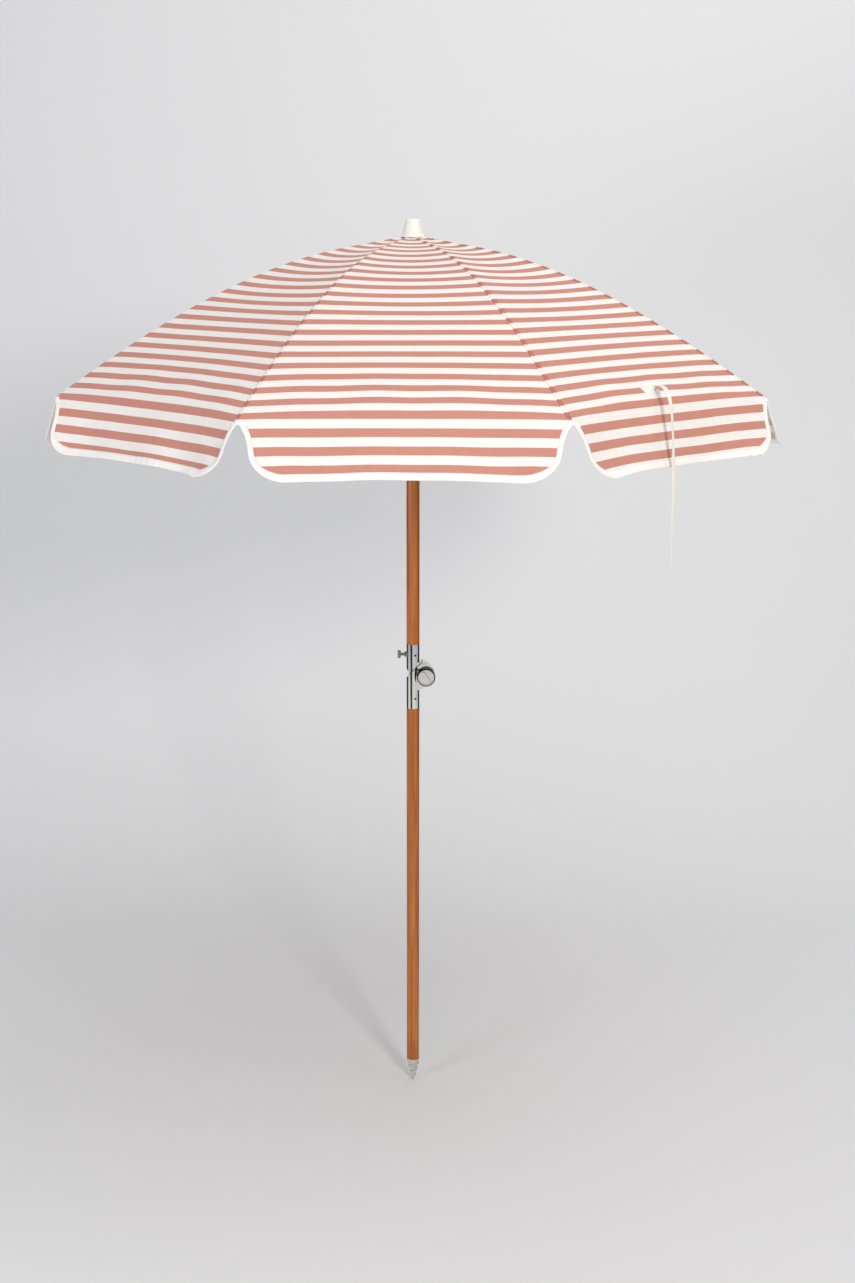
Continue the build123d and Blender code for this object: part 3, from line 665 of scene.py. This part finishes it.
def platedWithPaintedShadeAndReflection(name, node, vector, level, half):  # plated, with a painted dark line where a distance in the row frame is near level: painted shade along the parting line of the tilt halves, painted dark reflection on the knob's rim
    material = metal(name, "#eae8e3", 0.06, 160, 0.10)
    shader = material.node_tree.nodes["Principled BSDF"]
    place = addNode(material, "ShaderNodeTexCoord", {}, {}, {}).outputs["Object"]
    offset = nodes[node].matrix_world.translation - Vector((hinge[0], 0, hinge[1]))
    local = addNode(material, "ShaderNodeVectorMath", {"operation": "ADD"}, {1: offset}, {0: place}).outputs[0]
    if vector:
        distance = addNode(material, "ShaderNodeVectorMath", {"operation": "DOT_PRODUCT"}, {1: vector}, {0: local})
    else:
        flat = addNode(material, "ShaderNodeVectorMath", {"operation": "MULTIPLY"}, {1: (1, 0, 1)}, {0: local}).outputs[0]
        distance = addNode(material, "ShaderNodeVectorMath", {"operation": "LENGTH"}, {}, {0: flat})
    line = addNode(material, "ShaderNodeMath", {"operation": "COMPARE"}, {1: level, 2: half},
                   {0: distance.outputs["Value"]})
    # the dark colour is painted shade and painted reflection, not a colour of the steel
    colour = addNode(material, "ShaderNodeMix", {"data_type": "RGBA"}, {6: linear("#eae8e3"), 7: linear("#242322")},
                     {0: line.outputs[0]})
    link(material, colour.outputs[2], shader.inputs["Base Color"])
    return material


hinge, lobe, slant = (0.033, 1.105), 0.03345, radians(44)
across = (-sin(slant), 0, cos(slant))
# painted shade: a dark line where the tilt halves meet
lowerHalfPaintedShade = platedWithPaintedShadeAndReflection("plated steel, lower half", "tilt_lower", across, lobe, 0.0009)
upperHalfPaintedShade = platedWithPaintedShadeAndReflection("plated steel, upper half", "tilt_upper", across, lobe, 0.0009)
# painted dark reflection: a dark ring on the knob's rounded rim
knobPaintedRimReflection = platedWithPaintedShadeAndReflection("plated steel with a painted dark reflection on its rim", "tilt_knob", None, 0.0213, 0.0017)
ribSteel = metal("galvanised rib wire", "#b4b3b0", 0.28, 220, 0.18)
ivory, ivoryShader = makeMaterial("ivory moulded plastic", {"Base Color": linear("#f3f1e6"), "Roughness": 0.38,
                                  "Subsurface Weight": 0.1, "Subsurface Scale": 0.004})  # finial, crown, runner
cloudy, cloudyShader = makeMaterial("cloudy clear plastic", {"Base Color": linear("#dcd7cb"), "Roughness": 0.32,
                                    "Transmission Weight": 0.35, "Subsurface Weight": 0.3,
                                    "Subsurface Scale": 0.006, "IOR": 1.46})  # ground spike
print("materials made")


def dress(piece, *materials):
    piece.data.materials.clear()
    for material in materials:
        piece.data.materials.append(material)


looks = {
    "lower_pole": wood, "upper_pole": wood, "ground_spike": cloudy, "crown": ivory, "runner": ivory,
    "canopy_washer": ivory, "finial": ivory, "tie_patch": webbing, "tie_strap": webbing, "tie_snap": plated,
    "lower_rivet": blackened, "upper_rivet": blackened, "tilt_lower": lowerHalfPaintedShade, "tilt_upper": upperHalfPaintedShade,
    "tilt_knob": knobPaintedRimReflection, "thumb_screw": worn, "screw_boss": worn,
}
for name, node in nodes.items():
    if name.startswith(("rib_", "stretcher_", "crown_wire", "runner_wire", "catch_spring", "finial_stud")):
        dress(node, ribSteel)
    elif name.startswith("panel_"):
        dress(node, stripes)
    else:
        dress(node, looks.get(name, plated))

for cloth, k, side in clothHalves:
    dress(cloth, stripes, lining)
    foldWith(cloth, k, side)
    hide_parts(f"panel_{k}_{side}")
for tape, k, side in bindings:
    dress(tape, tapeWhite)
    foldWith(tape, k, side)
for strip, k in seams:
    dress(strip, felled)
    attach(strip, f"rib_{k}")
for piece, k in caps + pockets:
    dress(piece, tapeWhite)
    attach(piece, f"rib_{k}")
dress(tieStrap, webbing)
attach(tieStrap, "tie_strap")
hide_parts("tie_strap")
dress(tiePatch, webbing)
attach(tiePatch, "panel_2_left")
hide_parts("tie_patch")
dress(tieSnap, plated)
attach(tieSnap, "panel_2_left")
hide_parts("tie_snap")
dress(finial, ivory)
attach(finial, "canopy_pole")
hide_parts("finial")
dress(spike, cloudy)
dress(spikeFin, cloudy)
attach(spike, "ground_pole")
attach(spikeFin, "ground_pole")
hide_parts("ground_spike")
print("pieces dressed and joined")

# studio: one sweep of pale paper for the floor and wall, soft lights from the right, front and above
sweep = {"front": -9.0, "wall": 2.6, "bend": 1.6, "top": 7.0, "half": 9.0}
line = [(sweep["front"], 0.0), (-3.0, 0.0), (sweep["wall"] - sweep["bend"], 0.0)]
for i in range(1, 25):
    a = radians(90 * i / 24)
    line.append((sweep["wall"] - sweep["bend"] + sweep["bend"] * sin(a), sweep["bend"] * (1 - cos(a))))
line.append((sweep["wall"], sweep["top"]))
paperPoints = [(x, y, z) for y, z in line for x in (-sweep["half"], sweep["half"])]
paper = meshPiece("paperSweep", paperPoints, gridFaces(len(line), 2))
paperLook, paperShader = makeMaterial("pale grey backdrop paper", {"Base Color": linear("#eaeaea"), "Roughness": 0.9})
paperSide = addNode(paperLook, "ShaderNodeNewGeometry", {}, {}, {}).outputs["Backfacing"]
clearBack = addNode(paperLook, "ShaderNodeBsdfTransparent", {}, {}, {}).outputs["BSDF"]  # seen through from behind
paperMix = addNode(paperLook, "ShaderNodeMixShader", {}, {}, {0: paperSide, 1: paperShader.outputs["BSDF"], 2: clearBack})
link(paperLook, paperMix.outputs[0], paperLook.node_tree.nodes["Material Output"].inputs["Surface"])
dress(paper, paperLook)

lights = [
    ("keyLight", (1.7, -4.3, 2.9), 0.8, 86, "#fffaf5", (0, 0, 1.6)),
    ("leftFill", (-3.0, -3.2, 1.3), 1.4, 56, "#f6f7ff", (0, 0, 1.3)),
    ("topLight", (0.4, -0.8, 5.4), 4.5, 66, "#ffffff", (0, 0, 1.3)),
    ("wallWash", (2.2, -0.6, 4.4), 2.0, 26, "#ffffff", (1.2, 2.6, 3.0)),
]
for name, spot, size, power, colour, target in lights:
    aim = Vector(target) - Vector(spot)
    bpy.ops.object.light_add(type="AREA", location=spot, rotation=aim.to_track_quat("-Z", "Y").to_euler())
    lamp = bpy.context.object
    lamp.name = name
    lamp.data.shape = "SQUARE"
    lamp.data.size = size
    lamp.data.energy = power
    lamp.data.color = linear(colour)[:3]
flagLook, flagShader = makeMaterial("black studio card", {"Base Color": linear("#1a1a1b"), "Roughness": 1.0})
for name, x, y, wide, along in (("leftFlag", -1.6, 1.3, 2.4, (0, 1, 0)), ("rightFlag", 1.6, 1.3, 2.4, (0, 1, 0)),
                                ("frontFlag", -1.4, -2.5, 1.9, (0.87, -0.49, 0))):
    corners = [Vector((x, y, 0.02 + z)) + Vector(along) * side * wide / 2 for z in (0, 2.6) for side in (-1, 1)]
    flag = meshPiece(name, corners, gridFaces(2, 2))  # dark card that only shows in bright metal
    dress(flag, flagLook)
    flag.visible_camera = flag.visible_diffuse = flag.visible_shadow = flag.visible_transmission = False
world = bpy.data.worlds.new("studioAir")
world.use_nodes = True
world.node_tree.nodes["Background"].inputs["Color"].default_value = linear("#e6e8ec")
world.node_tree.nodes["Background"].inputs["Strength"].default_value = 0.42
bpy.context.scene.world = world
bpy.context.scene.view_settings.view_transform = "Standard"
